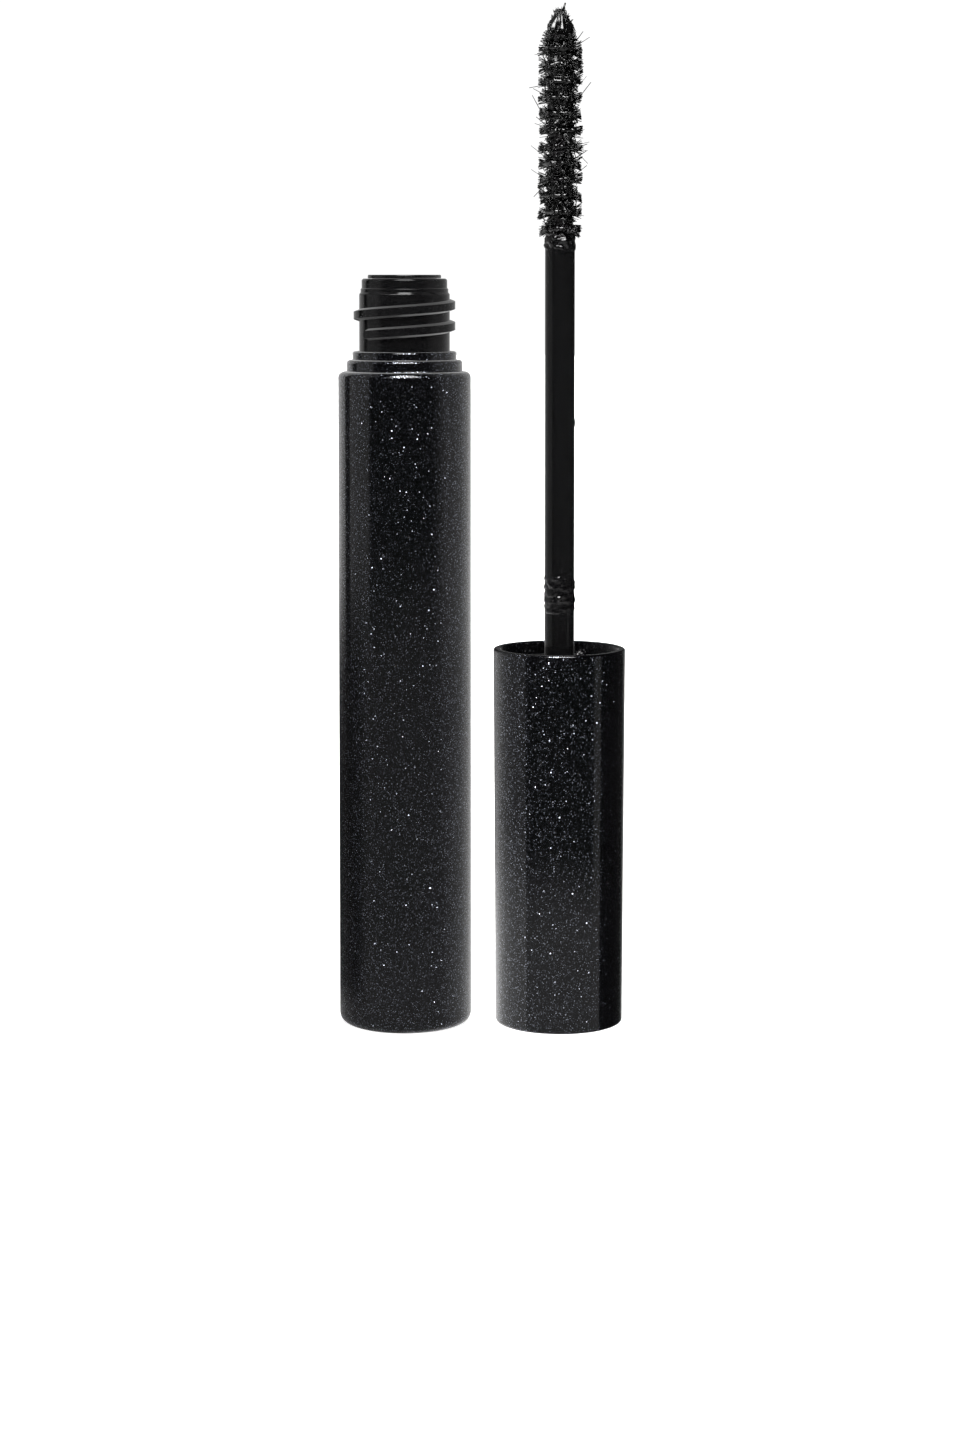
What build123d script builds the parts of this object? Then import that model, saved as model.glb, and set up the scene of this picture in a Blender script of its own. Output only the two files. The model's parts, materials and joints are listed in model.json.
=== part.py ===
from build123d import *

import os

# Mascara tube, open: the bottle stands at the origin and the applicator (cap and wand)
# stands beside it on its closed end, brush up. Millimetres, +Z up.
# The origin is the centre of the bottle's foot, and +X points at the applicator.

# ---- bottle, heights above its foot ----
BODY_R = 8.0                # outer radius of the bottle
SHOULDER_Z = 79.2           # the cap's rim lands here
SHOULDER_EDGE = 0.75        # rounding of the shoulder's outer edge
SPIGOT_R = 6.97             # step that centres the cap's rim
SPIGOT_Z = 80.6
COLLAR_R = 6.25             # second, smaller step
COLLAR_Z = 81.6
NECK_R = 5.45
NECK_Z = 88.45
BEAD_R = 5.28
RIM_R = 5.15
RIM_Z = 90.35
SLEEVE_BORE_R = 7.2
FOOT_BORE_R = 6.6           # mouth of the sleeve, closed by the base plug
FOOT_EDGE = 1.1             # rounding of the bottle's lower edge
FOOT_STEP_Z = (1.2, 1.8)    # chamfer between the sleeve's mouth and its bore
PLUG_RING_Z = 3.5           # top of the plug's ring round the vial
VIAL_R = 6.1
VIAL_BORE_R = 5.1
VIAL_BORE_TOP_Z = 77.0      # the bore narrows to the neck between these two heights
NECK_BORE_FOOT_Z = 78.6
VIAL_SHOULDER_Z = 78.15
VIAL_FOOT_Z = 0.7
VIAL_FLOOR_Z = 1.5
NECK_BORE_R = 3.9
WIPER_FLANGE_R = 4.42
WIPER_TOP_Z = 90.8
WIPER_BORE_R = 3.4
ORIFICE_R = 1.9
ORIFICE_Z = (75.6, 76.8)
WIPER_BEAD_Z = 86.1         # snap bead on the wiper, in a groove of the neck's bore
WIPER_BEAD = 0.12
SNAP_GROOVE = 0.16
LIP_WALL = 0.45
FUNNEL_FOOT_Z = 80.0        # outside of the wiper's funnel, where its barrel starts
FUNNEL_TOP_Z = 80.3         # inside of the wiper's funnel
FILL_TOP_Z = 67.0
FILL_DISH = 2.5             # depth of the dished top of the paste
CHANNEL_R = 3.1             # way that the wand has left open in the paste
CHANNEL_FOOT_Z = 1.8

# ---- screw thread between neck and cap ----
LEAD = 2.5
THREAD_R = 6.12             # crest of the neck's ridge
RIDGE_WIDTH = (1.47, 0.9)   # at its root and at its crest
RIDGE_ROOT = 0.1            # depth that a ridge's root is sunk into its wall
THREAD_START = (222.0, 83.7)        # angle in degrees and height of the ridge's lower end
THREAD_TURNS = 1.63
LINER_BORE_R = 6.35
LINER_CREST_R = 5.65
LINER_RIDGE_WIDTH = (1.06, 0.6)
LINER_THREAD_START = 432.0          # angle of the cap's ridge when closed, on the same count
LINER_THREAD_TURNS = 1.25

# ---- applicator, heights above its foot ----
SPACING = 18.7              # between the two upright axes
CAP_HEIGHT = 45.65
CAP_MOUTH_R = 8.0
CAP_FOOT_R = 7.7            # the cap narrows a little towards its closed end
CAP_WALL = 0.88
CAP_FLOOR_Z = 1.0
LINER_RIM_Z = 44.15
LINER_FLOOR_Z = 31.6
LINER_UNDERSIDE_Z = 30.4
SOCKET_R = 2.5
SOCKET_WALL = 0.8
WASHER_Z = (33.2, 34.0)
WASHER_R = 6.2
WASHER_PLAY = 0.07          # between the loose washer and the stem
HEAD_R = 6.2                # head of the stem, clamped in the liner
HEAD_TOP_Z = 33.15
STEM_FOOT_Z = 26.95
STEM_R = 1.79
STEM_TOP_Z = 95.3
WIRE_R = 0.40
WIRE_Z = (88.5, 120.4)

# ---- brush ----
RING_COUNT = 12
RING_PITCH = 1.95
FIRST_RING_Z = 96.3
RING_R = 2.55
RING_HALF_HUB = 0.62        # half thickness of a ring at the wire and at its rim
RING_HALF_RIM = 0.40
GROOVE_R = 1.5
TUFT_R = 2.2
TUFT_SHOULDER = (1.2, 2.1)  # the tuft is widest between these heights above its foot
TUFT_POINT_R = 0.5
TIP_Z = 122.8

GAP = 0.05                  # clearance round pieces that are fitted into each other
FINE_GAP = 0.02
FUSE_TOLERANCE = 0.001
RIDGE_SPANS = 3             # sweeps that make up a thread ridge


def turned(outline, axis_x=0.0):
    """Solid turned about an upright axis; an outline row is radius, height, corner radius."""
    points = [(radius, height) for radius, height, _ in outline]
    corners = [corner for _, _, corner in outline]
    section = Plane.XZ * make_face(FilletPolyline(*points, radius=corners, close=True))
    return Pos(axis_x, 0, 0) * revolve(section, Axis.Z)


def thread_ridge(start_angle, start_z, turns, root_r, crest_r, root_width, crest_width):
    """Solids of a right-hand helical ridge about the Z axis: spans, and a half-round dome at each end."""
    half_section = [(root_r, 0), (crest_r, 0), (crest_r, crest_width / 2), (root_r, root_width / 2)]
    upper = make_face(Polyline(*half_section, close=True))
    lower = make_face(Polyline(*[(radius, -height) for radius, height in half_section], close=True))
    span_turns = turns / RIDGE_SPANS
    span = sweep(Plane.XZ * (upper + lower), path=Helix(LEAD, span_turns * LEAD, root_r), is_frenet=True)

    def along(turn):
        return Pos(0, 0, start_z + turn * LEAD) * Rot(0, 0, start_angle + turn * 360)

    solids = [along(number * span_turns) * span for number in range(RIDGE_SPANS)]
    solids.append(along(0) * revolve(Plane.XZ * upper, Axis.X, 180))
    solids.append(along(turns) * revolve(Plane.XZ * lower, Axis.X, 180))
    return [part.solid() for part in solids]


def with_ridge(body, ridge):
    """Body and thread ridge as one solid; the tolerance settles their nearly equal edges."""
    return body.solid().fuse(*ridge, tol=FUSE_TOLERANCE)


def neck_ridge_height(angle):
    """Height of the neck's ridge at an angle counted on from its lower end."""
    return THREAD_START[1] + (angle - THREAD_START[0]) / 360 * LEAD


# ---- bottle ----

def bottle_sleeve():
    """Lacquered outer sleeve with the two steps of the shoulder."""
    return turned([
        (FOOT_BORE_R, 0, 0.15), (BODY_R, 0, FOOT_EDGE), (BODY_R, SHOULDER_Z, SHOULDER_EDGE),
        (SPIGOT_R, SHOULDER_Z, 0.12), (SPIGOT_R, SPIGOT_Z, 0.4),
        (COLLAR_R, SPIGOT_Z, 0.1), (COLLAR_R, COLLAR_Z, 0.25),
        (NECK_R + 2 * GAP, COLLAR_Z, 0.1), (NECK_R + 2 * GAP, VIAL_SHOULDER_Z + GAP, 0),
        (SLEEVE_BORE_R, VIAL_SHOULDER_Z + GAP, 0.4),
        (SLEEVE_BORE_R, FOOT_STEP_Z[1], 0), (FOOT_BORE_R, FOOT_STEP_Z[0], 0),
    ])


def base_plug():
    """Plug that closes the sleeve and holds the vial's foot in a low ring."""
    plug_r = FOOT_BORE_R - GAP
    socket_r = VIAL_R + GAP
    return turned([
        (0, 0, 0), (plug_r, 0, 0.15), (plug_r, PLUG_RING_Z, 0.1), (socket_r, PLUG_RING_Z, 0.1),
        (socket_r, VIAL_FOOT_Z, 0), (0, VIAL_FOOT_Z, 0),
    ])


def inner_vial():
    """Vial that holds the paste, with the threaded neck."""
    groove_r = NECK_BORE_R + SNAP_GROOVE
    body = turned([
        (0, VIAL_FOOT_Z, 0), (VIAL_R, VIAL_FOOT_Z, 0.8), (VIAL_R, VIAL_SHOULDER_Z, 0.3),
        (NECK_R, VIAL_SHOULDER_Z, 0), (NECK_R, NECK_Z, 0.15), (BEAD_R, NECK_Z + 0.25, 0),
        (BEAD_R, NECK_Z + 0.65, 0.1), (RIM_R, NECK_Z + 0.75, 0), (RIM_R, RIM_Z, 0.3),
        (NECK_BORE_R, RIM_Z, 0.1), (NECK_BORE_R, WIPER_BEAD_Z + 0.4, 0),
        (groove_r, WIPER_BEAD_Z + 0.2, 0), (groove_r, WIPER_BEAD_Z - 0.2, 0),
        (NECK_BORE_R, WIPER_BEAD_Z - 0.4, 0), (NECK_BORE_R, NECK_BORE_FOOT_Z, 0.3),
        (VIAL_BORE_R, VIAL_BORE_TOP_Z, 0.5), (VIAL_BORE_R, VIAL_FLOOR_Z, 0.8), (0, VIAL_FLOOR_Z, 0),
    ])
    ridge = thread_ridge(*THREAD_START, THREAD_TURNS, NECK_R - RIDGE_ROOT, THREAD_R, *RIDGE_WIDTH)
    return with_ridge(body, ridge)


def wiper():
    """Soft wiper pressed into the neck: flange, barrel, snap bead, funnel and lip."""
    barrel_r = NECK_BORE_R - FINE_GAP
    bead_r = barrel_r + WIPER_BEAD
    lip_r = ORIFICE_R + LIP_WALL
    return turned([
        (ORIFICE_R, ORIFICE_Z[0], 0.1), (lip_r, ORIFICE_Z[0], 0.1), (lip_r, ORIFICE_Z[1] - 0.2, 0),
        (barrel_r, FUNNEL_FOOT_Z, 0.3), (barrel_r, WIPER_BEAD_Z - 0.3, 0),
        (bead_r, WIPER_BEAD_Z - 0.1, 0), (bead_r, WIPER_BEAD_Z + 0.1, 0),
        (barrel_r, WIPER_BEAD_Z + 0.3, 0), (barrel_r, RIM_Z + FINE_GAP, 0),
        (WIPER_FLANGE_R, RIM_Z + FINE_GAP, 0.1), (WIPER_FLANGE_R, WIPER_TOP_Z, 0.15),
        (WIPER_BORE_R, WIPER_TOP_Z, 0.15), (WIPER_BORE_R, FUNNEL_TOP_Z, 0.3),
        (ORIFICE_R, ORIFICE_Z[1], 0.1),
    ])


def mascara_fill():
    """Paste that clings to the vial's wall, round the way that the wand has left."""
    paste_r = VIAL_BORE_R - GAP
    return turned([
        (0, VIAL_FLOOR_Z + GAP, 0), (paste_r, VIAL_FLOOR_Z + GAP, 0.85),
        (paste_r, FILL_TOP_Z, 0), (CHANNEL_R, FILL_TOP_Z - FILL_DISH, 0.6),
        (CHANNEL_R, CHANNEL_FOOT_Z, 0.3), (0, CHANNEL_FOOT_Z, 0),
    ])


# ---- applicator ----

def cap_bore_r(height):
    """Inner radius of the cap's shell at a height above its foot."""
    taper = (CAP_MOUTH_R - CAP_FOOT_R) / CAP_HEIGHT
    return CAP_MOUTH_R - CAP_WALL - taper * (CAP_HEIGHT - height)


def cap_shell():
    """Lacquered outer shell of the cap, standing on its closed end."""
    return turned([
        (0, 0, 0), (CAP_FOOT_R, 0, 0.3), (CAP_MOUTH_R, CAP_HEIGHT, 0.25),
        (cap_bore_r(CAP_HEIGHT), CAP_HEIGHT, 0.15), (cap_bore_r(CAP_FLOOR_Z), CAP_FLOOR_Z, 0.5),
        (0, CAP_FLOOR_Z, 0),
    ], SPACING)


def cap_liner():
    """Inner cap: threaded skirt, floor for the stem's head, and a socket tube under it."""
    tube_r = SOCKET_R + SOCKET_WALL
    skirt = turned([
        (SOCKET_R, CAP_FLOOR_Z + GAP, 0), (tube_r, CAP_FLOOR_Z + GAP, 0.2),
        (tube_r, LINER_UNDERSIDE_Z, 0.3), (cap_bore_r(LINER_UNDERSIDE_Z) - GAP, LINER_UNDERSIDE_Z, 0.3),
        (cap_bore_r(LINER_RIM_Z) - GAP, LINER_RIM_Z, 0.2), (LINER_BORE_R, LINER_RIM_Z, 0.2),
        (LINER_BORE_R, LINER_FLOOR_Z, 0.1), (SOCKET_R, LINER_FLOOR_Z, 0),
    ])
    # Closed, the cap's ridge runs midway between the neck's turns. Standing open, the
    # applicator is turned half round about Y, so the ridge's upper end when closed is the lower.
    last_angle = LINER_THREAD_START + LINER_THREAD_TURNS * 360
    closed_z = neck_ridge_height(last_angle) - LEAD / 2
    open_z = SHOULDER_Z + CAP_HEIGHT - closed_z
    ridge = thread_ridge(180 - last_angle, open_z, LINER_THREAD_TURNS,
                         LINER_BORE_R + RIDGE_ROOT, LINER_CREST_R, *LINER_RIDGE_WIDTH)
    return Pos(SPACING, 0, 0) * with_ridge(skirt, ridge)


def cap_seal_washer():
    """Loose washer that the wiper's flange presses on when the cap is closed."""
    bore_r = STEM_R + WASHER_PLAY
    low, high = WASHER_Z
    return turned([(bore_r, low, 0), (WASHER_R, low, 0), (WASHER_R, high, 0), (bore_r, high, 0)], SPACING)


def wand_stem():
    """Stem with the head that the liner holds, drilled at its top for the brush wire."""
    tail_r = SOCKET_R - GAP
    wire_hole_r = WIRE_R + FINE_GAP
    hole_foot_z = WIRE_Z[0] - GAP
    return turned([
        (0, STEM_FOOT_Z, 0), (tail_r, STEM_FOOT_Z, 0.4), (tail_r, LINER_FLOOR_Z + GAP, 0),
        (HEAD_R, LINER_FLOOR_Z + GAP, 0.2), (HEAD_R, HEAD_TOP_Z, 0.2), (STEM_R, HEAD_TOP_Z, 0),
        (STEM_R, STEM_TOP_Z, 0.35), (wire_hole_r, STEM_TOP_Z, 0.1),
        (wire_hole_r, hole_foot_z, 0), (0, hole_foot_z, 0),
    ], SPACING)


def brush_wire():
    """Wire that clamps the bristles."""
    low, high = WIRE_Z
    return turned([(0, low, 0), (WIRE_R, low, 0.1), (WIRE_R, high, 0.2), (0, high, 0)], SPACING)


def bristle_ring(number):
    """One disc of full-length bristles."""
    centre = FIRST_RING_Z + number * RING_PITCH
    hub_r = WIRE_R + FINE_GAP
    return turned([
        (hub_r, centre - RING_HALF_HUB, 0), (RING_R, centre - RING_HALF_RIM, 0.2),
        (RING_R, centre + RING_HALF_RIM, 0.2), (hub_r, centre + RING_HALF_HUB, 0),
    ], SPACING)


def groove_bristles():
    """Short bristles in the grooves, one disc above each ring but the last."""
    hub_r = WIRE_R + FINE_GAP
    discs = []
    for number in range(RING_COUNT - 1):
        ring_z = FIRST_RING_Z + number * RING_PITCH
        low = ring_z + RING_HALF_HUB + FINE_GAP
        high = ring_z + RING_PITCH - RING_HALF_HUB - FINE_GAP
        outline = [(hub_r, low, 0), (GROOVE_R, low, 0), (GROOVE_R, high, 0), (hub_r, high, 0)]
        discs.append(turned(outline, SPACING))
    return Compound(children=discs)


def tip_tuft():
    """Tapered tuft of bristles at the brush's tip."""
    hub_r = WIRE_R + FINE_GAP
    foot = FIRST_RING_Z + (RING_COUNT - 1) * RING_PITCH + RING_HALF_HUB + FINE_GAP
    return turned([
        (hub_r, foot, 0), (GROOVE_R, foot, 0.2), (TUFT_R, foot + TUFT_SHOULDER[0], 0.3),
        (TUFT_R - 0.1, foot + TUFT_SHOULDER[1], 0.3), (TUFT_POINT_R, TIP_Z - 0.2, 0.2), (0, TIP_Z, 0),
        (0, WIRE_Z[1] + FINE_GAP, 0), (hub_r, WIRE_Z[1] + FINE_GAP, 0),
    ], SPACING)


def nodes():
    """Every piece by name."""
    pieces = {
        "bottle_sleeve": bottle_sleeve(), "base_plug": base_plug(), "inner_vial": inner_vial(),
        "wiper": wiper(), "mascara_fill": mascara_fill(),
        "cap_shell": cap_shell(), "cap_liner": cap_liner(), "cap_seal_washer": cap_seal_washer(),
        "wand_stem": wand_stem(), "brush_wire": brush_wire(), "groove_bristles": groove_bristles(),
        "tip_tuft": tip_tuft(),
    }
    for number in range(RING_COUNT):
        pieces[f"bristle_ring_{number + 1:02d}"] = bristle_ring(number)
    return pieces


os.makedirs("parts", exist_ok=True)
for name, shape in nodes().items():
    export_step(shape, f"parts/{name}.step")
    print(f"{name:20s} {shape.volume:10.2f} mm3  valid {shape.is_valid}")
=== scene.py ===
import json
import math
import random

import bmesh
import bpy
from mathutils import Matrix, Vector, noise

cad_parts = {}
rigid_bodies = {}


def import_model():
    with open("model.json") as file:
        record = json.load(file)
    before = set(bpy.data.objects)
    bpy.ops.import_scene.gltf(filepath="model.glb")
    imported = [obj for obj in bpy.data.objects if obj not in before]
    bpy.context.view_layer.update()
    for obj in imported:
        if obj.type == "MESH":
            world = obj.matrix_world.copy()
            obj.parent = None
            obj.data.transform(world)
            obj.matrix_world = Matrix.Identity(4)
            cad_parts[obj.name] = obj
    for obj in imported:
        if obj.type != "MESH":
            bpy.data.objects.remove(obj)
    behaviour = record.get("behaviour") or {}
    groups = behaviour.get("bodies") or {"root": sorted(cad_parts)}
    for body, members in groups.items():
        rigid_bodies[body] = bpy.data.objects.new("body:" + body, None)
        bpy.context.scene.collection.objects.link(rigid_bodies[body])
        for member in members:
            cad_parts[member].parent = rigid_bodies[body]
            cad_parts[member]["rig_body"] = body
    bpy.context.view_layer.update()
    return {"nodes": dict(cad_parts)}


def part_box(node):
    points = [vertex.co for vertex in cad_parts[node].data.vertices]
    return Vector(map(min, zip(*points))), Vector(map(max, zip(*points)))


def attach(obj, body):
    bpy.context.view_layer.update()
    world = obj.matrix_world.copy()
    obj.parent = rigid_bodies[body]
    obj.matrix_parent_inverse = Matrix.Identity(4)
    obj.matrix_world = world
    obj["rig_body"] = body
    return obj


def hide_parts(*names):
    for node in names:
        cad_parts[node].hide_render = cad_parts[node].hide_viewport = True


bl_info = {
    "name": "Open mascara tube",
    "version": (1, 0, 0),
    "blender": (4, 5, 0),
    "location": "3D View > Sidebar > Mascara",
    "description": "Lacquered mascara bottle with its cap, wand and grooved brush standing beside it",
    "category": "Object",
}

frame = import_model()

MM = 0.001
UP = Vector((0, 0, 1))
NODES = frame["nodes"]

# Stage: size and height of the light tents, and how far the floor and the backdrop shine towards white.
TENT_R = 20.0
TENT_HEIGHT = 45 * MM
FLOOR_HALF_WIDTH = 3.0
FLOOR_DROP = 0.02 * MM
FLOOR_LIFT = 0.93
BACKDROP_SEEN = 1.05
BACKDROP_REFLECTED = 0.02
CAMERA_LENS = 75.2
CAMERA_SHIFT = -0.17
CAMERA_PLACE = (9.51 * MM, -365.0 * MM, 91.0 * MM)
CAMERA_TILT = math.radians(86.12)

# Lacquer: brightness of the few large flecks, and how little the many small ones tip.
SPARK_STRENGTH = 0.42
HAZE_STEEPNESS = 0.13

# Brush: how many filaments, and the share of a ring's filaments that stick out of it.
BUNCHES_PER_RING = 34
STRAY_SHARE = 0.012
GROOVE_FILAMENTS = 1100
PASTE_STRANDS = 420
TUFT_FILAMENTS = 620

# Wet cores of the brush: radius in mm, then mm above a ring's middle, or a share of the tuft's height.
RING_WEB = ((0.45, -0.5), (1.5, -0.38), (1.95, -0.24), (2.08, 0), (1.95, 0.24), (1.5, 0.38), (0.45, 0.5))
TUFT_CORE = (
    (0.44, 0), (1.55, 0.04), (1.75, 0.25), (1.4, 0.5), (0.9, 0.72), (0.35, 0.9), (0.02, 0.93), (0.02, 0))
CORE_BORE_R = 0.44 * MM


# ---- light tents ----

def patch(azimuth, elevation, glow, side_fade=(5, 5), end_fade=(1.5, 10)):
    """One soft patch of a tent, in degrees: azimuth 0 is the front and plus is to the right."""
    return {
        "azimuth": azimuth, "elevation": elevation, "glow": glow,
        "side_fade": side_fade, "end_fade": end_fade}


BOTTLE_TENT = (
    patch(azimuth=(-109, -63), elevation=(-6.3, 60), glow=0.36, side_fade=(3, 4)),
    patch(azimuth=(-190, -125), elevation=(-6.3, 60), glow=0.55, side_fade=(5, 3)),
    patch(azimuth=(66, 190), elevation=(-7, 60), glow=0.32, side_fade=(18, 5)),
    patch(azimuth=(118, 190), elevation=(-90, 60), glow=0.14, side_fade=(14, 5)),
    patch(azimuth=(-78, 190), elevation=(-90, -6.2), glow=0.17, side_fade=(16, 5), end_fade=(1, 1.8)),
    patch(azimuth=(-78, 190), elevation=(-90, -12.8), glow=0.11, side_fade=(16, 5), end_fade=(1, 1.2)),
    patch(azimuth=(80, 190), elevation=(-90, -6.5), glow=0.22, side_fade=(25, 5)),
    patch(azimuth=(-190, -78), elevation=(-90, -13.7), glow=0.25, side_fade=(5, 12), end_fade=(1, 0.4)),
    patch(azimuth=(-26, 30), elevation=(34, 74), glow=12, side_fade=(6, 6), end_fade=(4, 4)),
)
CAP_TENT = (
    patch(azimuth=(-150, -63), elevation=(-90, 60), glow=0.22, side_fade=(12, 1.5)),
    patch(azimuth=(-190, -120), elevation=(-90, 2), glow=0.26, side_fade=(5, 40)),
    patch(azimuth=(-190, -63), elevation=(-90, -11.9), glow=0.6, side_fade=(5, 1.5), end_fade=(1, 1.4)),
    patch(azimuth=(-64, 77), elevation=(-90, -12.3), glow=0.42, side_fade=(3, 0.8), end_fade=(1, 0.9)),
    patch(azimuth=(63, 77), elevation=(-12.3, -6), glow=0.3, side_fade=(1.5, 0.8), end_fade=(0.9, 1)),
    patch(azimuth=(155, 190), elevation=(-90, 2), glow=0.3, side_fade=(8, 5)),
    patch(azimuth=(-26, 30), elevation=(34, 74), glow=13, side_fade=(6, 6), end_fade=(4, 4)),
)


# ---- places read from the frame ----

def centre_of(node):
    """Middle of a node's box."""
    low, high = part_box(node)
    return (low + high) / 2


BOTTLE_AXIS = centre_of("bottle_sleeve").x
WAND_AXIS = centre_of("wand_stem").x
CAP_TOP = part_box("cap_shell")[1].z
STEM_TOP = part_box("wand_stem")[1].z
STEM_R = 1.79 * MM
RING_NODES = sorted(name for name in NODES if name.startswith("bristle_ring_"))
RING_Z = [centre_of(name).z for name in RING_NODES]
TUFT_LOW, TUFT_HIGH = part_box("tip_tuft")

# The lacquer ends at these radii from the bottle's and the wand's axis.
SPIGOT_R = 6.0 * MM
CAP_BORE_R = 7.15 * MM


# ---- what a user may change ----

class MascaraSizes(bpy.types.PropertyGroup):
    bristles_per_ring: bpy.props.IntProperty(
        name="Bristles per ring", description="Filaments in each full-length ring",
        default=300, min=20, max=600)
    bristle_thickness: bpy.props.FloatProperty(
        name="Bristle thickness", description="Diameter of one wet filament at its root",
        default=0.14 * MM, min=0.02 * MM, max=0.3 * MM, unit="LENGTH", precision=6)
    paste_depth: bpy.props.FloatProperty(
        name="Paste depth", description="Thickness of the paste left on the stem",
        default=0.16 * MM, min=0.0, max=0.5 * MM, unit="LENGTH", precision=6)
    seed: bpy.props.IntProperty(
        name="Seed", description="Start of the random numbers", default=7, min=0)


class MascaraColours(bpy.types.PropertyGroup):
    lacquer: bpy.props.FloatVectorProperty(
        name="Lacquer", description="Colour under the clear coat", subtype="COLOR",
        size=4, default=(0.002, 0.002, 0.0025, 1), min=0, max=1)
    fleck: bpy.props.FloatVectorProperty(
        name="Fleck", description="Colour of the metal flecks", subtype="COLOR",
        size=4, default=(0.62, 0.66, 0.78, 1), min=0, max=1)
    plastic: bpy.props.FloatVectorProperty(
        name="Plastic", description="Colour of the plain black mouldings", subtype="COLOR",
        size=4, default=(0.004, 0.004, 0.0042, 1), min=0, max=1)
    paste: bpy.props.FloatVectorProperty(
        name="Paste", description="Colour of the mascara", subtype="COLOR",
        size=4, default=(0.0012, 0.0011, 0.0013, 1), min=0, max=1)
    floor: bpy.props.FloatVectorProperty(
        name="Floor", description="Colour of the floor", subtype="COLOR",
        size=4, default=(0.93, 0.93, 0.93, 1), min=0, max=1)


# ---- shader helpers ----

def new_material(name):
    """A material with its Principled shader, and the tree that holds it."""
    material = bpy.data.materials.new(name)
    material.use_nodes = True
    return material, material.node_tree, material.node_tree.nodes["Principled BSDF"]


def set_inputs(shader, **values):
    """Sets constant values on a shader's own sockets; underscores stand for blanks."""
    for key, value in values.items():
        shader.inputs[key.replace("_", " ")].default_value = value


def feed(tree, shader, **sockets):
    """Links sockets to a shader's own inputs; underscores stand for blanks."""
    for key, socket in sockets.items():
        tree.links.new(socket, shader.inputs[key.replace("_", " ")])


def toned(colour, factor):
    """A colour made lighter or darker by a factor, and opaque."""
    return tuple(channel * factor for channel in colour[:3]) + (1,)


def math_node(tree, operation, first, second=None):
    """A Math node fed by sockets or numbers; gives its output socket."""
    node = tree.nodes.new("ShaderNodeMath")
    node.operation = operation
    for socket, value in zip(node.inputs, (first, second)):
        if value is None:
            continue
        if isinstance(value, (int, float)):
            socket.default_value = value
        else:
            tree.links.new(value, socket)
    return node.outputs[0]


def vector_node(tree, operation, first, second=None):
    """A Vector Math node fed by sockets or a fixed vector; gives its output socket."""
    node = tree.nodes.new("ShaderNodeVectorMath")
    node.operation = operation
    tree.links.new(first, node.inputs[0])
    other = node.inputs["Scale"] if operation == "SCALE" else node.inputs[1]
    if isinstance(second, tuple):
        other.default_value = second
    elif second is not None:
        tree.links.new(second, other)
    return node.outputs[0]


def mapped_range(tree, value, low, high, to_low, to_high, easing="LINEAR"):
    """A Map Range node's output socket."""
    node = tree.nodes.new("ShaderNodeMapRange")
    node.interpolation_type = easing
    tree.links.new(value, node.inputs["Value"])
    for key, number in (("From Min", low), ("From Max", high), ("To Min", to_low), ("To Max", to_high)):
        node.inputs[key].default_value = number
    return node.outputs["Result"]


def smooth_step(tree, value, edge, soft, rising):
    """Eased step at an edge, over a width of twice soft; falling when rising is false."""
    before, after = (0.0, 1.0) if rising else (1.0, 0.0)
    return mapped_range(tree, value, edge - soft, edge + soft, before, after, "SMOOTHSTEP")


def object_coordinates(tree):
    """Object coordinates' socket."""
    return tree.nodes.new("ShaderNodeTexCoord").outputs["Object"]


def split_axes(tree, vector):
    """X, Y and Z sockets of a vector."""
    node = tree.nodes.new("ShaderNodeSeparateXYZ")
    tree.links.new(vector, node.inputs[0])
    return node.outputs["X"], node.outputs["Y"], node.outputs["Z"]


def noise_node(tree, vector, scale, detail=3.0, roughness=0.5):
    """Noise texture's value socket."""
    node = tree.nodes.new("ShaderNodeTexNoise")
    node.inputs["Scale"].default_value = scale
    node.inputs["Detail"].default_value = detail
    node.inputs["Roughness"].default_value = roughness
    tree.links.new(vector, node.inputs["Vector"])
    return node.outputs["Fac"]


def new_group(name, numbers, outputs):
    """A node group with a Vector input, named number inputs and named outputs, and its two end nodes."""
    group = bpy.data.node_groups.new(name, "ShaderNodeTree")
    group.interface.new_socket(name="Vector", in_out="INPUT", socket_type="NodeSocketVector")
    for label, default in numbers:
        socket = group.interface.new_socket(name=label, in_out="INPUT", socket_type="NodeSocketFloat")
        socket.default_value = default
    for label, kind in outputs:
        group.interface.new_socket(name=label, in_out="OUTPUT", socket_type=f"NodeSocket{kind}")
    return group, group.nodes.new("NodeGroupInput"), group.nodes.new("NodeGroupOutput")


# ---- node groups used by more than one material ----

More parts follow.
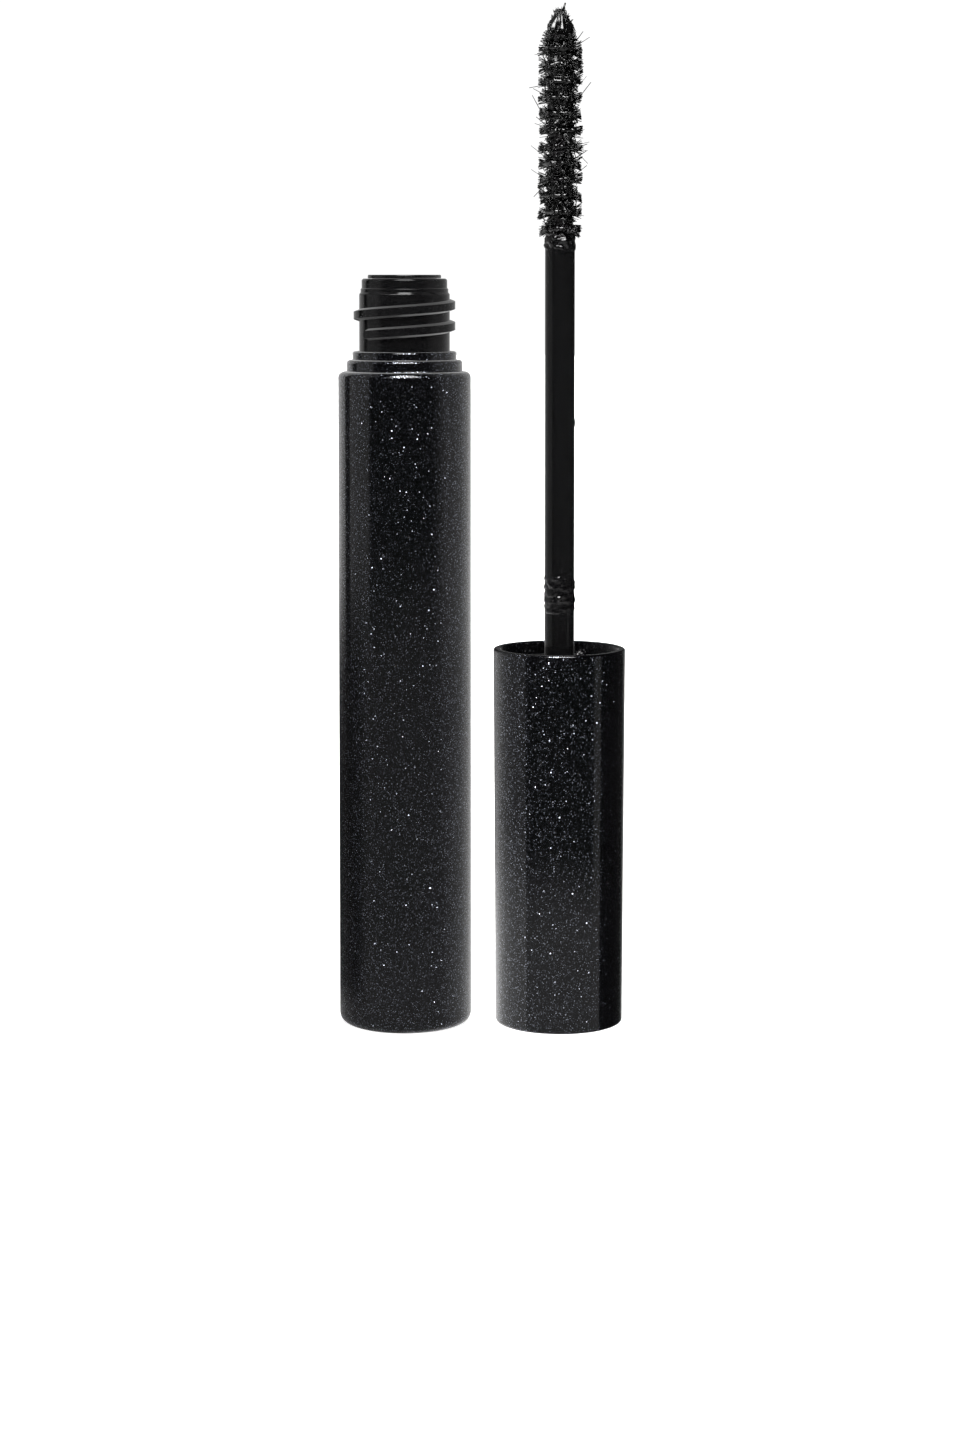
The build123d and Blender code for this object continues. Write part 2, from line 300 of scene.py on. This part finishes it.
def fleck_group():
    """Metal flecks: many faint ones, a few bright ones, and a normal that tips each its own way."""
    group, entry, result = new_group(
        "metal_flecks",
        (("Cell Scale", 8300.0), ("Share", 0.13), ("Haze", 0.8), ("Size", 0.44), ("Tilt", 1.2)),
        (("Mask", "Float"), ("Spot", "Float"), ("Normal", "Vector")))
    cells = group.nodes.new("ShaderNodeTexVoronoi")
    group.links.new(entry.outputs["Vector"], cells.inputs["Vector"])
    group.links.new(entry.outputs["Cell Scale"], cells.inputs["Scale"])
    split = group.nodes.new("ShaderNodeSeparateColor")
    group.links.new(cells.outputs["Color"], split.inputs["Color"])
    chosen = math_node(group, "LESS_THAN", split.outputs["Red"], entry.outputs["Share"])
    inside = math_node(group, "LESS_THAN", cells.outputs["Distance"], entry.outputs["Size"])
    bright = math_node(group, "POWER", split.outputs["Green"], 3.0)
    spark = math_node(group, "MULTIPLY", bright, SPARK_STRENGTH)
    dim = math_node(group, "POWER", split.outputs["Blue"], 4.0)
    faint = math_node(group, "MULTIPLY", dim, entry.outputs["Haze"])
    either = math_node(group, "MAXIMUM", math_node(group, "MULTIPLY", chosen, spark), faint)
    own_way = group.nodes.new("ShaderNodeTexWhiteNoise")
    group.links.new(cells.outputs["Color"], own_way.inputs["Vector"])
    centred = vector_node(group, "SUBTRACT", own_way.outputs["Color"], (0.5, 0.5, 0.5))
    steepness = mapped_range(group, chosen, 0.0, 1.0, HAZE_STEEPNESS, 1.0)
    tilt = math_node(group, "MULTIPLY", entry.outputs["Tilt"], steepness)
    geometry = group.nodes.new("ShaderNodeNewGeometry")
    tipped = vector_node(
        group, "ADD", vector_node(group, "SCALE", centred, tilt), geometry.outputs["Normal"])
    group.links.new(math_node(group, "MULTIPLY", either, inside), result.inputs["Mask"])
    group.links.new(inside, result.inputs["Spot"])
    group.links.new(vector_node(group, "NORMALIZE", tipped), result.inputs["Normal"])
    return group


def handling_group():
    """Faint smears and dust of a handled gloss surface, as a roughness and a height."""
    group, entry, result = new_group(
        "handling_marks", (("Base Roughness", 0.1), ("Smear", 0.05)),
        (("Roughness", "Float"), ("Height", "Float")))
    broad = noise_node(group, entry.outputs["Vector"], 130.0, 4.0, 0.6)
    fine = noise_node(group, entry.outputs["Vector"], 2600.0, 2.0, 0.5)
    smeared = mapped_range(group, broad, 0.42, 0.72, 0.0, 1.0)
    added = math_node(group, "MULTIPLY", smeared, entry.outputs["Smear"])
    total = math_node(group, "ADD", added, entry.outputs["Base Roughness"])
    group.links.new(total, result.inputs["Roughness"])
    group.links.new(fine, result.inputs["Height"])
    return group


def place_group(tree, group, vector, **values):
    """Puts a group into a material with its own values."""
    node = tree.nodes.new("ShaderNodeGroup")
    node.node_tree = group
    tree.links.new(vector, node.inputs["Vector"])
    for key, value in values.items():
        node.inputs[key.replace("_", " ")].default_value = value
    return node


def bump_node(tree, height, strength, distance):
    """Bump node's normal socket."""
    node = tree.nodes.new("ShaderNodeBump")
    node.inputs["Strength"].default_value = strength
    node.inputs["Distance"].default_value = distance
    tree.links.new(height, node.inputs["Height"])
    return node.outputs["Normal"]


def mixed_colour(tree, factor, first, second):
    """Mix of two colours by a factor socket; each colour is a socket or four numbers."""
    node = tree.nodes.new("ShaderNodeMix")
    node.data_type = "RGBA"
    tree.links.new(factor, node.inputs["Factor"])
    for key, value in (("A", first), ("B", second)):
        socket = [item for item in node.inputs if item.name == key and item.type == "RGBA"][0]
        if isinstance(value, bpy.types.NodeSocket):
            tree.links.new(value, socket)
        else:
            socket.default_value = value
    return [item for item in node.outputs if item.type == "RGBA"][0]


# ---- materials ----

def lacquer_material(name, flecks, marks, share, haze, cell_scale, axis_x, inner_r):
    """Black lacquer with metal flecks under a clear coat; inside the bore it is bare plastic."""
    colours = bpy.context.scene.mascara_colours
    material, tree, shader = new_material(name)
    vector = object_coordinates(tree)
    sparks = place_group(
        tree, flecks, vector, Cell_Scale=cell_scale, Share=share, Haze=haze, Size=0.44, Tilt=1.2)
    outside = beyond_radius(tree, vector, axis_x, inner_r)
    cover = math_node(tree, "MULTIPLY", sparks.outputs["Mask"], outside)
    metal = math_node(tree, "MULTIPLY", sparks.outputs["Spot"], outside)
    wear = place_group(tree, marks, vector, Base_Roughness=0.14, Smear=0.05)
    feed(tree, shader, Base_Color=mixed_colour(tree, cover, colours.lacquer, colours.fleck),
         Metallic=metal, Normal=sparks.outputs["Normal"], Coat_Weight=outside,
         Roughness=wear.outputs["Roughness"])
    set_inputs(shader, Specular_IOR_Level=0.1, Coat_Roughness=0.03, Coat_IOR=1.46)
    return material


def beyond_radius(tree, vector, axis_x, radius):
    """One where a point is further than a radius from an upright axis, and nothing nearer."""
    x, y, _ = split_axes(tree, vector)
    across = math_node(tree, "SUBTRACT", x, axis_x)
    squares = math_node(tree, "ADD", math_node(tree, "MULTIPLY", across, across),
                        math_node(tree, "MULTIPLY", y, y))
    distance = math_node(tree, "SQRT", squares)
    soft = 0.04 * MM
    return mapped_range(tree, distance, radius - soft, radius + soft, 0.0, 1.0)


def moulding_material(name, colour, marks, roughness, smear, specular=0.5):
    """Plain moulded plastic."""
    material, tree, shader = new_material(name)
    vector = object_coordinates(tree)
    wear = place_group(tree, marks, vector, Base_Roughness=roughness, Smear=smear)
    cloud = noise_node(tree, vector, 320.0, 3.0, 0.55)
    feed(tree, shader, Base_Color=mixed_colour(tree, cloud, colour, toned(colour, 1.7)),
         Roughness=wear.outputs["Roughness"],
         Normal=bump_node(tree, wear.outputs["Height"], 0.06, 0.02 * MM))
    set_inputs(shader, Specular_IOR_Level=specular)
    return material


def stem_material(name, colour, marks):
    """Gloss black stem whose clear coat fades out just above the cap's mouth: painted shade for the cap's
    shadow on the foot that goes down into the cap.
    """
    material, tree, shader = new_material(name)
    vector = object_coordinates(tree)
    wear = place_group(tree, marks, vector, Base_Roughness=0.1, Smear=0.12)
    cloud = noise_node(tree, vector, 900.0, 4.0, 0.6)
    height = split_axes(tree, vector)[2]
    # Painted shade: the coat is full above the mouth and gone inside it, standing in for the shadow the cap
    # casts on the stem.
    coat_fade_painted_shade = mapped_range(tree, height, CAP_TOP + 0.1 * MM, CAP_TOP + 0.6 * MM, 0.0, 1.0)
    feed(tree, shader, Base_Color=mixed_colour(tree, cloud, colour, toned(colour, 1.6)),
         Roughness=wear.outputs["Roughness"], Coat_Weight=coat_fade_painted_shade,
         Normal=bump_node(tree, cloud, 0.12, 0.02 * MM))
    set_inputs(shader, Specular_IOR_Level=0.05, Coat_Roughness=0.07, Coat_IOR=1.42)
    return material


def paste_material(name, ridge_scale, depth):
    """Wet mascara: black, shiny in its thick parts and duller where it has dried."""
    colours = bpy.context.scene.mascara_colours
    material, tree, shader = new_material(name)
    vector = object_coordinates(tree)
    lumps = noise_node(tree, vector, ridge_scale, 5.0, 0.6)
    dry = noise_node(tree, vector, ridge_scale * 0.4, 3.0, 0.5)
    feed(tree, shader, Base_Color=mixed_colour(tree, dry, colours.paste, toned(colours.paste, 2.2)),
         Roughness=mapped_range(tree, dry, 0.3, 0.7, 0.06, 0.2),
         Normal=bump_node(tree, lumps, 0.75, depth))
    set_inputs(shader, Specular_IOR_Level=0.8)
    return material


def wire_material(name):
    """Drawn steel wire."""
    material, tree, shader = new_material(name)
    vector = object_coordinates(tree)
    drawn = noise_node(tree, vector, 1800.0, 2.0, 0.6)
    dark_steel = (0.28, 0.28, 0.29, 1)
    pale_steel = (0.42, 0.42, 0.43, 1)
    feed(tree, shader, Base_Color=mixed_colour(tree, drawn, dark_steel, pale_steel),
         Roughness=mapped_range(tree, drawn, 0.3, 0.7, 0.25, 0.4))
    set_inputs(shader, Metallic=1.0)
    return material


def filament_material(name):
    """Black nylon filament with a film of paste, wetter in patches."""
    colours = bpy.context.scene.mascara_colours
    material, tree, shader = new_material(name)
    vector = object_coordinates(tree)
    patches = noise_node(tree, vector, 900.0, 3.0, 0.55)
    nylon = (0.003, 0.0028, 0.003, 1)
    feed(tree, shader, Base_Color=mixed_colour(tree, patches, colours.paste, nylon),
         Roughness=mapped_range(tree, patches, 0.35, 0.65, 0.06, 0.2))
    set_inputs(shader, Specular_IOR_Level=0.9)
    return material


def stage_material(name):
    """Pale seamless floor, lifted towards white where it is seen directly."""
    colours = bpy.context.scene.mascara_colours
    material, tree, shader = new_material(name)
    vector = object_coordinates(tree)
    grain = noise_node(tree, vector, 60.0, 3.0, 0.5)
    path = tree.nodes.new("ShaderNodeLightPath")
    feed(tree, shader, Base_Color=mixed_colour(tree, grain, colours.floor, toned(colours.floor, 0.985)),
         Emission_Strength=math_node(tree, "MULTIPLY", path.outputs["Is Camera Ray"], FLOOR_LIFT))
    set_inputs(shader, Roughness=0.9, Specular_IOR_Level=0.0, Emission_Color=(1, 1, 1, 1))
    return material


def tent_material(name, patches):
    """Light tent: soft-edged white patches by azimuth and elevation, in degrees; the rest is clear."""
    material = bpy.data.materials.new(name)
    material.use_nodes = True
    tree = material.node_tree
    tree.nodes.remove(tree.nodes["Principled BSDF"])
    x, y, z = split_axes(tree, object_coordinates(tree))
    forward = math_node(tree, "MULTIPLY", y, -1.0)
    azimuth = math_node(tree, "DEGREES", math_node(tree, "ARCTAN2", x, forward))
    rise = math_node(tree, "DIVIDE", z, TENT_R)
    elevation = math_node(tree, "DEGREES", math_node(tree, "ARCSINE", rise))
    total = None
    for area in patches:
        (left, right), (low, high) = area["azimuth"], area["elevation"]
        (left_fade, right_fade), (low_fade, high_fade) = area["side_fade"], area["end_fade"]
        glow = area["glow"]
        for value, edge, fade, rising in (
                (azimuth, left, left_fade, True), (azimuth, right, right_fade, False),
                (elevation, low, low_fade, True), (elevation, high, high_fade, False)):
            glow = math_node(tree, "MULTIPLY", smooth_step(tree, value, edge, fade, rising), glow)
        total = glow if total is None else math_node(tree, "ADD", total, glow)
    emission = tree.nodes.new("ShaderNodeEmission")
    tree.links.new(total, emission.inputs["Strength"])
    clear = tree.nodes.new("ShaderNodeBsdfTransparent")
    both = tree.nodes.new("ShaderNodeAddShader")
    tree.links.new(emission.outputs[0], both.inputs[0])
    tree.links.new(clear.outputs[0], both.inputs[1])
    tree.links.new(both.outputs[0], tree.nodes["Material Output"].inputs["Surface"])
    return material


def materials():
    """Every material by the part of the object that wears it; built once."""
    if "lacquer_bottle" not in bpy.data.materials:
        colours = bpy.context.scene.mascara_colours
        flecks = fleck_group()
        marks = handling_group()
        seal_grey = (0.02, 0.02, 0.021, 1)
        lacquer_material("lacquer_bottle", flecks, marks, share=0.13, haze=0.8, cell_scale=8300.0,
                         axis_x=BOTTLE_AXIS, inner_r=SPIGOT_R)
        lacquer_material("lacquer_cap", flecks, marks, share=0.2, haze=0.78, cell_scale=7600.0,
                         axis_x=WAND_AXIS, inner_r=CAP_BORE_R)
        moulding_material("gloss_black", colours.plastic, marks, roughness=0.12, smear=0.08, specular=0.28)
        stem_material("stem_black", colours.plastic, marks)
        moulding_material("satin_black", colours.plastic, marks, roughness=0.5, smear=0.1, specular=0.2)
        moulding_material("soft_wiper", colours.plastic, marks, roughness=0.2, smear=0.12)
        moulding_material("seal_grey", seal_grey, marks, roughness=0.7, smear=0.1, specular=0.3)
        paste_material("wet_paste", ridge_scale=1500.0, depth=0.12 * MM)
        paste_material("paste_film", ridge_scale=4200.0, depth=0.05 * MM)
        filament_material("wet_filament")
        wire_material("brush_wire")
    return bpy.data.materials


def dress(node, material):
    """Gives a CAD node its material."""
    mesh = NODES[node].data
    mesh.materials.clear()
    mesh.materials.append(materials()[material])


# ---- mesh helpers ----

def new_object(name, mesh_data, material):
    """Turns a bmesh into an object of the scene that wears a material."""
    mesh = bpy.data.meshes.new(name)
    mesh_data.to_mesh(mesh)
    mesh_data.free()
    mesh.materials.append(material)
    made = bpy.data.objects.new(name, mesh)
    bpy.context.scene.collection.objects.link(made)
    return made


def finished(name, mesh_data, material, body, replaced=()):
    """Turns a bmesh into a smooth piece that rides on a body."""
    piece = new_object(name, mesh_data, materials()[material])
    for polygon in piece.data.polygons:
        polygon.use_smooth = True
    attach(piece, body)
    if replaced:
        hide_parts(*replaced)
    return piece


class Filaments:
    """Collects filaments in a small mesh and moves them to the piece's mesh a batch at a time."""
    BATCH = 24
    ROOT_TAPER = 2
    TIP_TAPER = 3.5

    def __init__(self, target):
        self.target = target
        self.small = bmesh.new()
        self.count = 0

    def add(self, root, tip, thickness, bend, sides=3):
        """One filament from root to tip that bows by a vector and tapers; thickness is its root's width."""
        along = tip - root
        cone = bmesh.ops.create_cone(
            self.small, cap_ends=True, cap_tris=False, segments=sides,
            radius1=thickness / self.ROOT_TAPER, radius2=thickness / self.TIP_TAPER, depth=along.length)
        vertices = cone["verts"]
        turn = UP.rotation_difference(along.normalized()).to_matrix().to_4x4()
        place = Matrix.Translation((root + tip) / 2) @ turn
        bmesh.ops.transform(self.small, matrix=place, verts=vertices)
        rails = [edge for edge in {edge for vertex in vertices for edge in vertex.link_edges}
                 if abs((edge.verts[0].co - edge.verts[1].co).dot(along)) > 0.5 * along.length_squared]
        cut = bmesh.ops.subdivide_edges(self.small, edges=rails, cuts=1, use_grid_fill=False)
        middle = [item for item in cut["geom_inner"] if isinstance(item, bmesh.types.BMVert)]
        bmesh.ops.translate(self.small, vec=bend, verts=middle)
        self.count += 1
        if self.count % self.BATCH == 0:
            self.flush()

    def flush(self):
        """Moves the batch into the piece's mesh."""
        batch = bpy.data.meshes.new("batch")
        self.small.to_mesh(batch)
        self.small.free()
        self.target.from_mesh(batch)
        bpy.data.meshes.remove(batch)
        self.small = bmesh.new()


def lumpy_sleeve(bm, centre_x, profile, segments, lump, scale, seed):
    """Closed turned body from (radius, height) rows, its skin pushed in and out by noise."""
    ring = [bm.verts.new((centre_x + radius, 0, height)) for radius, height in profile]
    edges = [bm.edges.new(pair) for pair in zip(ring, ring[1:])]
    bmesh.ops.spin(
        bm, geom=ring + edges, cent=(centre_x, 0, 0), axis=UP, angle=math.tau,
        steps=segments, use_merge=True, use_duplicate=False)
    bmesh.ops.remove_doubles(bm, verts=bm.verts[:], dist=0.002 * MM)
    offset = Vector((seed * 3.1, seed * 1.7, seed * 2.3))
    for vertex in bm.verts:
        outward = Vector((vertex.co.x - centre_x, vertex.co.y, 0))
        if outward.length < 0.02 * MM:
            continue
        push = noise.noise(vertex.co * scale + offset) * lump
        vertex.co += outward.normalized() * push
    bmesh.ops.recalc_face_normals(bm, faces=bm.faces[:])


# ---- operators ----

class MASCARA_OT_bottle(bpy.types.Operator):
    """Gives the bottle's shells, neck, wiper and paste their finishes"""
    bl_idname = "mascara.bottle"
    bl_label = "Bottle"

    def execute(self, context):
        for node, material in (
                ("bottle_sleeve", "lacquer_bottle"), ("base_plug", "satin_black"),
                ("inner_vial", "gloss_black"), ("wiper", "soft_wiper"), ("mascara_fill", "wet_paste")):
            dress(node, material)
        return {"FINISHED"}


class MASCARA_OT_cap(bpy.types.Operator):
    """Gives the cap, its liner, the seal and the stem their finishes"""
    bl_idname = "mascara.cap"
    bl_label = "Cap and stem"

    def execute(self, context):
        for node, material in (
                ("cap_shell", "lacquer_cap"), ("cap_liner", "satin_black"),
                ("cap_seal_washer", "seal_grey"), ("wand_stem", "stem_black"),
                ("brush_wire", "brush_wire")):
            dress(node, material)
        return {"FINISHED"}


class MASCARA_OT_brush(bpy.types.Operator):
    """Makes the brush: rings of wet filaments, short filaments in the grooves, and the tip"""
    bl_idname = "mascara.brush"
    bl_label = "Brush"

    def execute(self, context):
        sizes = context.scene.mascara_sizes
        for number, node in enumerate(RING_NODES):
            self.ring(node, number, sizes)
        self.grooves(sizes)
        self.strands(sizes)
        self.tip(sizes)
        return {"FINISHED"}

    def ring(self, node, number, sizes):
        """One ring: a ragged wet web near the wire, bunches of stuck filaments and a few strays."""
        dice = random.Random(sizes.seed * 100 + number)
        low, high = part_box(node)
        middle = (low.z + high.z) / 2
        bm = bmesh.new()
        web = [(radius * MM, middle + rise * MM) for radius, rise in RING_WEB]
        lumpy_sleeve(bm, WAND_AXIS, web + web[:1], segments=48, lump=0.7 * MM, scale=2600.0, seed=number)
        bunches = [(dice.uniform(0, math.tau), dice.gauss(0, 0.16), dice.gauss(2.6, 0.1) * MM)
                   for _ in range(BUNCHES_PER_RING)]
        filaments = Filaments(bm)
        for _ in range(sizes.bristles_per_ring):
            angle = dice.uniform(0, math.tau)
            nearest = min(bunches, key=lambda bunch: abs(math.remainder(bunch[0] - angle, math.tau)))
            pull = math.remainder(nearest[0] - angle, math.tau) * 0.75
            lean = nearest[1] + dice.gauss(0, 0.06)
            reach = nearest[2] + dice.gauss(0, 0.05) * MM
            thickness = sizes.bristle_thickness
            if dice.random() < STRAY_SHARE:
                reach += dice.uniform(0.3, 1.2) * MM
                lean = dice.gauss(0.25, 0.45)
                thickness *= 0.85
            height = middle + dice.gauss(0, 0.17) * MM
            self.radial(filaments, dice, angle, height, 1.1 * MM, reach, lean, pull, thickness)
        filaments.flush()
        finished(f"{node}.filaments", bm, "wet_filament", "applicator", (node,))

    def radial(self, filaments, dice, angle, height, start, reach, lean, pull, thickness):
        """One filament out of the wand's axis at an angle; it leans along the axis and bows."""
        outward = Vector((math.cos(angle), math.sin(angle), 0))
        swept = Vector((math.cos(angle + pull), math.sin(angle + pull), 0))
        axis = Vector((WAND_AXIS, 0, height))
        root = axis + outward * start
        tip = axis + swept * reach + UP * lean * reach
        bend = Vector((dice.gauss(0, 1), dice.gauss(0, 1), dice.gauss(0, 1))) * 0.06 * MM
        filaments.add(root, tip, thickness * dice.uniform(0.8, 1.4), bend)

    def grooves(self, sizes):
        """Paste-filled short bristles between the rings, from the stem to the tip tuft."""
        dice = random.Random(sizes.seed + 51)
        foot = STEM_TOP + 0.02 * MM
        head = RING_Z[-1] + 0.8 * MM
        bm = bmesh.new()
        steps = 120
        rows = [(CORE_BORE_R, foot)]
        for step in range(steps + 1):
            height = foot + (head - foot) * step / steps
            rows.append(((1.43 + 0.1 * math.sin(step * 1.3)) * MM, height))
        rows.append((CORE_BORE_R, head))
        lumpy_sleeve(bm, WAND_AXIS, rows + rows[:1], segments=52, lump=0.6 * MM, scale=2100.0, seed=3)
        filaments = Filaments(bm)
        thickness = sizes.bristle_thickness * 1.1
        for _ in range(GROOVE_FILAMENTS):
            height = dice.uniform(foot + 0.3 * MM, head)
            angle = dice.uniform(0, math.tau)
            reach = dice.gauss(1.74, 0.14) * MM
            lean = dice.gauss(0, 0.35)
            pull = dice.gauss(0, 0.25)
            self.radial(filaments, dice, angle, height, 1.0 * MM, reach, lean, pull, thickness)
        filaments.flush()
        finished("groove_filaments", bm, "paste_film", "applicator", ("groove_bristles",))

    def strands(self, sizes):
        """Short curved strands of wet paste that lie across the rings and the grooves."""
        dice = random.Random(sizes.seed + 91)
        bm = bmesh.new()
        filaments = Filaments(bm)
        for _ in range(PASTE_STRANDS):
            angle = dice.uniform(0, math.tau)
            height = dice.uniform(RING_Z[0] - 0.6 * MM, RING_Z[-1] + 2.4 * MM)
            outward = Vector((math.cos(angle), math.sin(angle), 0))
            across = Vector((-math.sin(angle), math.cos(angle), 0))
            middle = Vector((WAND_AXIS, 0, height)) + outward * dice.uniform(1.5, 2.0) * MM
            slope = dice.uniform(-1.3, 1.3)
            along = (across * math.cos(slope) + UP * math.sin(slope)) * dice.uniform(0.25, 0.55) * MM
            bow = outward * dice.uniform(0.05, 0.22) * MM + UP * dice.gauss(0, 0.08) * MM
            filaments.add(middle - along, middle + along, dice.uniform(0.1, 0.17) * MM, bow, sides=5)
        filaments.flush()
        finished("paste_strands", bm, "wet_filament", "applicator")

    def tip(self, sizes):
        """Tapered tuft whose filaments close towards the tip, with one long stray."""
        dice = random.Random(sizes.seed + 77)
        foot, top = TUFT_LOW.z, TUFT_HIGH.z
        tall = top - foot
        bm = bmesh.new()
        rows = [(radius * MM, foot + share * tall) for radius, share in TUFT_CORE]
        lumpy_sleeve(bm, WAND_AXIS, rows + rows[:1], segments=44, lump=0.55 * MM, scale=2000.0, seed=5)
        filaments = Filaments(bm)
        for _ in range(TUFT_FILAMENTS):
            share = dice.random() ** 1.2
            height = foot + share * 0.8 * tall
            reach = (2.3 - 1.95 * share) * MM + dice.gauss(0, 0.1) * MM
            lean = 0.12 + 1.5 * share * share + dice.gauss(0, 0.2)
            angle = dice.uniform(0, math.tau)
            start = (1.1 - 0.9 * share) * MM
            pull = dice.gauss(0, 0.2)
            self.radial(filaments, dice, angle, height, start, reach, lean, pull, sizes.bristle_thickness)
        stray_root = Vector((WAND_AXIS - 0.1 * MM, -0.2 * MM, foot + 0.8 * tall))
        stray_tip = Vector((WAND_AXIS + 0.6 * MM, -0.3 * MM, top + 0.4 * MM))
        filaments.add(stray_root, stray_tip, 0.34 * MM, Vector((0.12 * MM, 0, 0)), sides=5)
        filaments.flush()
        finished("tip_filaments", bm, "wet_filament", "applicator", ("tip_tuft",))


class MASCARA_OT_residue(bpy.types.Operator):
    """Makes the paste left behind: a lip under the brush, a band near the cap, and two small beads"""
    bl_idname = "mascara.residue"
    bl_label = "Paste on the stem and the rim"

    def execute(self, context):
        depth = context.scene.mascara_sizes.paste_depth
        self.band("stem_paste_lip", STEM_TOP - 1.6 * MM, STEM_TOP + 0.2 * MM, depth, 11)
        self.band("stem_paste_band", CAP_TOP + 4.3 * MM, CAP_TOP + 8.9 * MM, depth, 12)
        self.bead("cap_rim_bead", Vector((WAND_AXIS + 2.3 * MM, -7.15 * MM, CAP_TOP - 0.02 * MM)),
                  Vector((0.6, 0.3, 0.5)) * MM, 4)
        self.bead("stem_bead", Vector((WAND_AXIS + 1.62 * MM, -0.75 * MM, CAP_TOP + 27.4 * MM)),
                  Vector((0.22, 0.25, 0.6)) * MM, 9)
        return {"FINISHED"}

    def band(self, name, low, high, depth, seed):
        """A thin uneven collar of paste round the stem."""
        bm = bmesh.new()
        rows = [(STEM_R - 0.05 * MM, low)]
        steps = 26
        for step in range(steps + 1):
            share = step / steps
            swell = math.sin(math.pi * share) ** 0.5
            rows.append((STEM_R - 0.04 * MM + depth * 0.5 * swell, low + (high - low) * share))
        rows.append((STEM_R - 0.05 * MM, high))
        lumpy_sleeve(bm, WAND_AXIS, rows, segments=72, lump=depth * 1.3, scale=1900.0, seed=seed)
        finished(name, bm, "wet_paste", "applicator")

    def bead(self, name, place, reach, seed):
        """A small uneven drop of paste; reach is its half size along each axis."""
        bm = bmesh.new()
        bmesh.ops.create_icosphere(bm, subdivisions=3, radius=1.0)
        for vertex in bm.verts:
            vertex.co *= 1.0 + 0.45 * noise.noise(vertex.co * 1.4 + Vector((seed, 0, 0)))
        bmesh.ops.scale(bm, vec=reach, verts=bm.verts[:])
        bmesh.ops.translate(bm, vec=place, verts=bm.verts[:])
        bmesh.ops.recalc_face_normals(bm, faces=bm.faces[:])
        finished(name, bm, "wet_paste", "applicator")


# ---- stage ----

class MASCARA_OT_stage(bpy.types.Operator):
    """Adds the floor, the light tents, the background and the camera"""
    bl_idname = "mascara.stage"
    bl_label = "Stage"

    def execute(self, context):
        self.floor()
        self.world(context.scene)
        self.tents()
        self.camera(context.scene)
        context.scene.view_settings.view_transform = "Standard"
        return {"FINISHED"}

    def floor(self):
        """Large pale floor."""
        bm = bmesh.new()
        bmesh.ops.create_grid(bm, x_segments=4, y_segments=4, size=FLOOR_HALF_WIDTH)
        plane = new_object("floor", bm, stage_material("pale_floor"))
        plane.location.z = -FLOOR_DROP
        plane.visible_glossy = False

    def world(self, scene):
        """White behind the object, and nearly nothing for what it reflects."""
        world = bpy.data.worlds.new("studio")
        world.use_nodes = True
        tree = world.node_tree
        back = tree.nodes["Background"]
        back.inputs["Color"].default_value = (1, 1, 1, 1)
        path = tree.nodes.new("ShaderNodeLightPath")
        strength = mapped_range(
            tree, path.outputs["Is Camera Ray"], 0, 1, BACKDROP_REFLECTED, BACKDROP_SEEN)
        tree.links.new(strength, back.inputs["Strength"])
        scene.world = world

    def tent(self, name, axis_x, patches, lit):
        """Sphere of soft panels that lights only some pieces and isn't seen by the camera."""
        bm = bmesh.new()
        bmesh.ops.create_uvsphere(bm, u_segments=64, v_segments=32, radius=TENT_R)
        sphere = new_object(name, bm, tent_material(name, patches))
        sphere.location = (axis_x, 0, TENT_HEIGHT)
        sphere.visible_camera = False
        sphere.visible_shadow = False
        receivers = bpy.data.collections.new(f"{name}_lit")
        for piece in lit:
            receivers.objects.link(piece)
        sphere.light_linking.receiver_collection = receivers

    def tents(self):
        """One tent for the bottle and one for the applicator, so that each gets its own light."""
        riding = {"bottle": [], "applicator": []}
        for piece in bpy.context.scene.objects:
            body = piece.get("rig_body")
            if body:
                riding["bottle" if body == "bottle" else "applicator"].append(piece)
        floor = bpy.data.objects["floor"]
        self.tent("bottle_tent", BOTTLE_AXIS, BOTTLE_TENT, riding["bottle"] + [floor])
        self.tent("cap_tent", WAND_AXIS, CAP_TENT, riding["applicator"])
        for piece in riding["bottle"] + riding["applicator"]:
            piece.visible_glossy = "filaments" in piece.name

    def camera(self, scene):
        """Camera at a standing product's eye height, a little above the middle."""
        data = bpy.data.cameras.new("camera")
        data.lens = CAMERA_LENS
        data.sensor_width = 36.0
        data.shift_y = CAMERA_SHIFT
        data.clip_start = 0.01
        data.clip_end = 20.0
        data.dof.use_dof = False
        camera = bpy.data.objects.new("camera", data)
        camera.location = CAMERA_PLACE
        camera.rotation_euler = (CAMERA_TILT, 0, 0)
        scene.collection.objects.link(camera)
        scene.camera = camera


class MASCARA_PT_panel(bpy.types.Panel):
    """Sidebar panel with the sizes, the colours and the pieces"""
    bl_idname = "MASCARA_PT_panel"
    bl_label = "Mascara tube"
    bl_space_type = "VIEW_3D"
    bl_region_type = "UI"
    bl_category = "Mascara"

    def draw(self, context):
        for group in (context.scene.mascara_sizes, context.scene.mascara_colours):
            for name in group.bl_rna.properties.keys():
                if name not in ("rna_type", "name"):
                    self.layout.prop(group, name)
        for operator in STEPS:
            self.layout.operator(operator.bl_idname)


STEPS = (MASCARA_OT_bottle, MASCARA_OT_cap, MASCARA_OT_brush, MASCARA_OT_residue, MASCARA_OT_stage)
CLASSES = (MascaraSizes, MascaraColours) + STEPS + (MASCARA_PT_panel,)


def register():
    for item in CLASSES:
        bpy.utils.register_class(item)
    bpy.types.Scene.mascara_sizes = bpy.props.PointerProperty(type=MascaraSizes)
    bpy.types.Scene.mascara_colours = bpy.props.PointerProperty(type=MascaraColours)


def unregister():
    del bpy.types.Scene.mascara_colours
    del bpy.types.Scene.mascara_sizes
    for item in reversed(CLASSES):
        bpy.utils.unregister_class(item)


def main():
    """Registers the classes and makes every piece in order."""
    register()
    bpy.ops.mascara.bottle()
    bpy.ops.mascara.cap()
    bpy.ops.mascara.brush()
    bpy.ops.mascara.residue()
    bpy.ops.mascara.stage()


if __name__ == "__main__":
    main()
